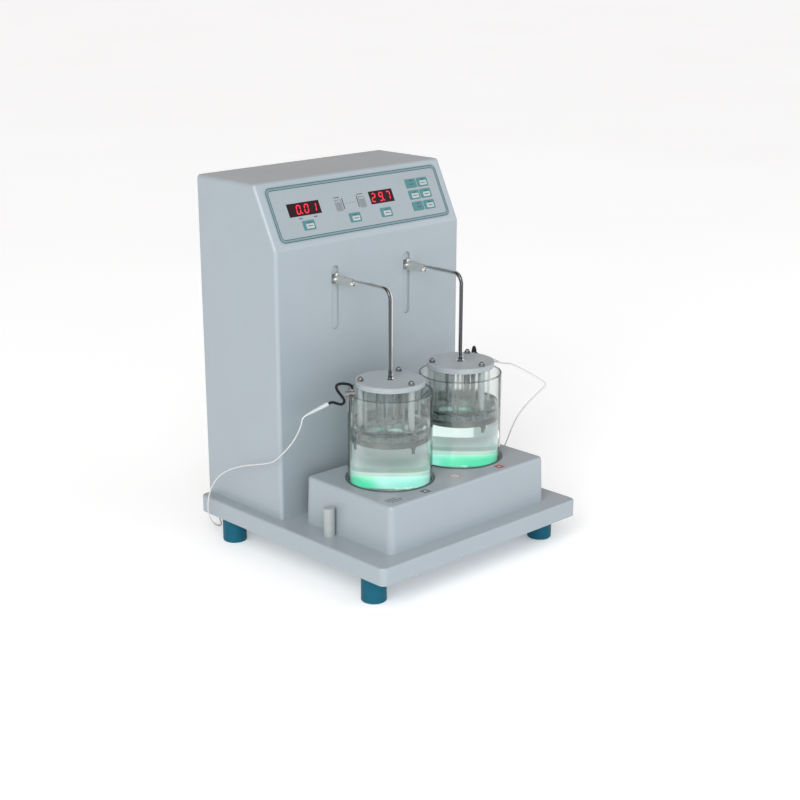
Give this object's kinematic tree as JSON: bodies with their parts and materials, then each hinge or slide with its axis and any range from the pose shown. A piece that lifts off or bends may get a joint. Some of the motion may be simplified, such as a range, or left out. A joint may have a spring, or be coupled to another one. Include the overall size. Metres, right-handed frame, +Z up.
{
  "type": "tablet disintegration tester",
  "caption": "Bench instrument with a sloped control panel on a tower, whose arms dip open tube baskets into glass beakers set in a heated deck.",
  "frame": {"origin": "on the bench, under the middle of the tray's footprint", "axes": "+Z up, +Y to the back of the tower, +X to the user's right as the user faces the panel"},
  "size_m": [0.3656, 0.3902, 0.488],
  "materials": {
    "housing": "satin moulded, very fine grain",
    "sheet": "powder coated",
    "foot_plastic": "satin",
    "fastener": "turned and polished",
    "film": "printed satin film",
    "window": "polished dark red tint",
    "board": "lacquered laminate",
    "well_metal": "machined",
    "ring_plastic": "translucent satin",
    "white_plastic": "satin",
    "frame_metal": "zinc plated sheet",
    "polished_rod": "polished",
    "motor_metal": "plated",
    "black_plastic": "satin moulded",
    "key_plastic": "printed satin",
    "pinion_brass": "machined",
    "carriage_metal": "milled",
    "shutter_plastic": "satin",
    "bracket_steel": "brushed",
    "milky_plastic": "frosted, turned edge",
    "glass": "fire polished",
    "clear_plastic": "clear, turned edge",
    "wire_cloth": "stainless band and woven cloth",
    "clip_steel": "polished",
    "black_rubber": "matt lead",
    "pale_cable": "thin pale sheath"
  },
  "bodies": {
    "base": {"base_tray": "housing", "base_plate": "sheet", "feet": "foot_plastic", "case_screws": "fastener", "tower_shell": "housing", "rear_cover": "sheet", "panel_film": "film", "display_windows": "window", "panel_board": "board", "deck_housing": "housing", "heater_wells": "well_metal", "light_rings": "ring_plastic", "parking_peg": "white_plastic", "drive_frame": "frame_metal", "guide_rods": "polished_rod", "drive_motors": "motor_metal", "control_board": "board", "power_supply": "frame_metal", "power_inlet": "black_plastic", "probe_sockets": "black_plastic", "probe_cable_left": "pale_cable", "probe_cable_right": "pale_cable"},
    "key_time": {"key_time": "key_plastic"},
    "key_station": {"key_station": "key_plastic"},
    "key_temperature": {"key_temperature": "key_plastic"},
    "key_pad_1": {"key_pad_1": "key_plastic"},
    "key_pad_2": {"key_pad_2": "key_plastic"},
    "key_pad_3": {"key_pad_3": "key_plastic"},
    "key_pad_4": {"key_pad_4": "key_plastic"},
    "key_pad_5": {"key_pad_5": "key_plastic"},
    "key_pad_6": {"key_pad_6": "key_plastic"},
    "power_rocker": {"power_rocker": "black_plastic"},
    "pinion_left": {"pinion_left": "pinion_brass"},
    "arm_left": {"carriage_left": "carriage_metal", "slot_shutter_left": "shutter_plastic", "arm_bracket_left": "bracket_steel"},
    "basket_left": {"hanger_rod_left": "polished_rod", "basket_lid_left": "milky_plastic", "basket_tubes_left": "glass", "basket_plate_left": "clear_plastic", "basket_screen_left": "wire_cloth", "basket_pillars_left": "white_plastic", "basket_studs_left": "fastener"},
    "vessel_left": {"beaker_left": "glass", "probe_left": "clip_steel", "probe_lead_left": "black_rubber"},
    "pinion_right": {"pinion_right": "pinion_brass"},
    "arm_right": {"carriage_right": "carriage_metal", "slot_shutter_right": "shutter_plastic", "arm_bracket_right": "bracket_steel"},
    "basket_right": {"hanger_rod_right": "polished_rod", "basket_lid_right": "milky_plastic", "basket_tubes_right": "glass", "basket_plate_right": "clear_plastic", "basket_screen_right": "wire_cloth", "basket_pillars_right": "white_plastic", "basket_studs_right": "fastener"},
    "vessel_right": {"beaker_right": "glass", "probe_right": "clip_steel", "probe_lead_right": "black_rubber"}
  },
  "joints": [
    {"name": "key_time_press", "type": "slide", "parent": "base", "child": "key_time", "axis": [0, 0.8921, -0.4518], "range_m": [0, 0.0004], "stiffness_N_per_m": 2000},
    {"name": "key_station_press", "type": "slide", "parent": "base", "child": "key_station", "axis": [0, 0.8921, -0.4518], "range_m": [0, 0.0004], "stiffness_N_per_m": 2000},
    {"name": "key_temperature_press", "type": "slide", "parent": "base", "child": "key_temperature", "axis": [0, 0.8921, -0.4518], "range_m": [0, 0.0004], "stiffness_N_per_m": 2000},
    {"name": "key_pad_1_press", "type": "slide", "parent": "base", "child": "key_pad_1", "axis": [0, 0.8921, -0.4518], "range_m": [0, 0.0004], "stiffness_N_per_m": 2000},
    {"name": "key_pad_2_press", "type": "slide", "parent": "base", "child": "key_pad_2", "axis": [0, 0.8921, -0.4518], "range_m": [0, 0.0004], "stiffness_N_per_m": 2000},
    {"name": "key_pad_3_press", "type": "slide", "parent": "base", "child": "key_pad_3", "axis": [0, 0.8921, -0.4518], "range_m": [0, 0.0004], "stiffness_N_per_m": 2000},
    {"name": "key_pad_4_press", "type": "slide", "parent": "base", "child": "key_pad_4", "axis": [0, 0.8921, -0.4518], "range_m": [0, 0.0004], "stiffness_N_per_m": 2000},
    {"name": "key_pad_5_press", "type": "slide", "parent": "base", "child": "key_pad_5", "axis": [0, 0.8921, -0.4518], "range_m": [0, 0.0004], "stiffness_N_per_m": 2000},
    {"name": "key_pad_6_press", "type": "slide", "parent": "base", "child": "key_pad_6", "axis": [0, 0.8921, -0.4518], "range_m": [0, 0.0004], "stiffness_N_per_m": 2000},
    {"name": "power_rocker_tip", "type": "hinge", "parent": "base", "child": "power_rocker", "pos_m": [0.088, 0.1695, 0.118], "axis": [1, 0, 0], "range_deg": [0, 16]},
    {"name": "arm_lift_left", "type": "slide", "parent": "base", "child": "arm_left", "axis": [0, 0, 1], "range_m": [-0.05, 0.005]},
    {"name": "pinion_turn_left", "type": "hinge", "parent": "base", "child": "pinion_left", "pos_m": [-0.122, 0.075, 0.335], "axis": [0, -1, 0], "range_deg": [-191.5, 19.5]},
    {"name": "basket_lift_off_left", "type": "slide", "parent": "arm_left", "child": "basket_left", "axis": [0, 0, 1], "range_m": [0, 0.12]},
    {"name": "vessel_lift_left", "type": "slide", "parent": "base", "child": "vessel_left", "axis": [0, 0, 1], "range_m": [0, 0.032]},
    {"name": "arm_lift_right", "type": "slide", "parent": "base", "child": "arm_right", "axis": [0, 0, 1], "range_m": [-0.05, 0.005]},
    {"name": "pinion_turn_right", "type": "hinge", "parent": "base", "child": "pinion_right", "pos_m": [0.122, 0.075, 0.335], "axis": [0, 1, 0], "range_deg": [-191.5, 19.5]},
    {"name": "basket_lift_off_right", "type": "slide", "parent": "arm_right", "child": "basket_right", "axis": [0, 0, 1], "range_m": [0, 0.12]},
    {"name": "vessel_lift_right", "type": "slide", "parent": "base", "child": "vessel_right", "axis": [0, 0, 1], "range_m": [0, 0.032]}
  ],
  "couplings": [
    {"joint": "pinion_turn_left", "follows": "arm_lift_left", "rad_per_m": 66.667},
    {"joint": "pinion_turn_right", "follows": "arm_lift_right", "rad_per_m": 66.667}
  ]
}
